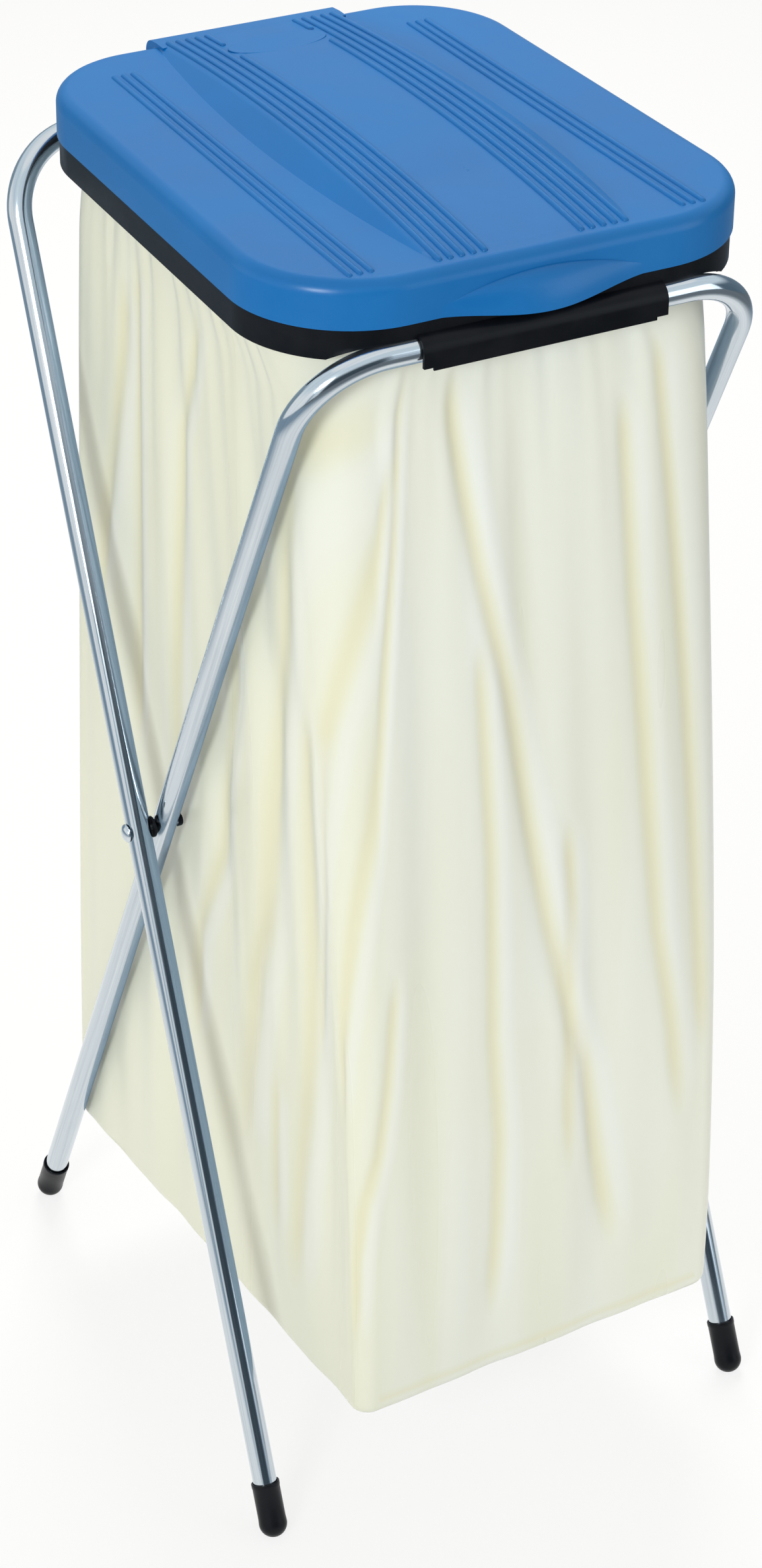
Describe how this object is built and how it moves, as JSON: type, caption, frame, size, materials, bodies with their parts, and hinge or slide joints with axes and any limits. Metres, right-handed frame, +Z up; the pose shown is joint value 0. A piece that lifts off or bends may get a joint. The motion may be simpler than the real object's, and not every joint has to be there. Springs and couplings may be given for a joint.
{
  "type": "bin bag holder",
  "caption": "Folding bin bag holder: crossed bent-tube U frames, a ring that clips over both top bars, a hinged ribbed lid with a finger lip, and a hanging film bag.",
  "frame": {"origin": "on the floor, in the middle of the stand's outline seen from above", "axes": "+X along the top bars towards the holder's right-hand side seen from its front, +Y towards the lid's hinge, +Z up"},
  "size_m": [0.378, 0.421, 0.9102],
  "materials": {
    "zinc_plated_steel": "bright zinc plating",
    "black_plastic": "satin moulded polypropylene",
    "blue_plastic": "satin moulded polypropylene",
    "bag_film": "translucent cream film"
  },
  "bodies": {
    "rear_frame": {"rear_frame": "zinc_plated_steel", "foot_cap_front_left": "black_plastic", "foot_cap_front_right": "black_plastic", "pivot_rivet_left": "zinc_plated_steel", "pivot_rivet_right": "zinc_plated_steel", "pivot_spacer_left": "black_plastic", "pivot_spacer_right": "black_plastic"},
    "front_frame": {"front_frame": "zinc_plated_steel", "foot_cap_rear_left": "black_plastic", "foot_cap_rear_right": "black_plastic"},
    "ring": {"holder_ring": "black_plastic", "bag_clamp_ring": "black_plastic", "bag": "bag_film"},
    "lid": {"lid": "blue_plastic"}
  },
  "joints": [
    {"name": "frame_fold", "type": "hinge", "parent": "rear_frame", "child": "front_frame", "pos_m": [0, 0, 0.44073], "axis": [-1, 0, 0], "range_deg": [0, 47]},
    {"name": "ring_swing", "type": "hinge", "parent": "rear_frame", "child": "ring", "pos_m": [0, 0.1905, 0.85], "axis": [-1, 0, 0], "range_deg": [0, 112.8], "deforming": ["bag"]},
    {"name": "lid_hinge", "type": "hinge", "parent": "ring", "child": "lid", "pos_m": [0, 0.1905, 0.85], "axis": [-1, 0, 0], "range_deg": [0, 100]}
  ],
  "couplings": [
    {"joint": "ring_swing", "follows": "frame_fold", "ratio": 2.4}
  ]
}
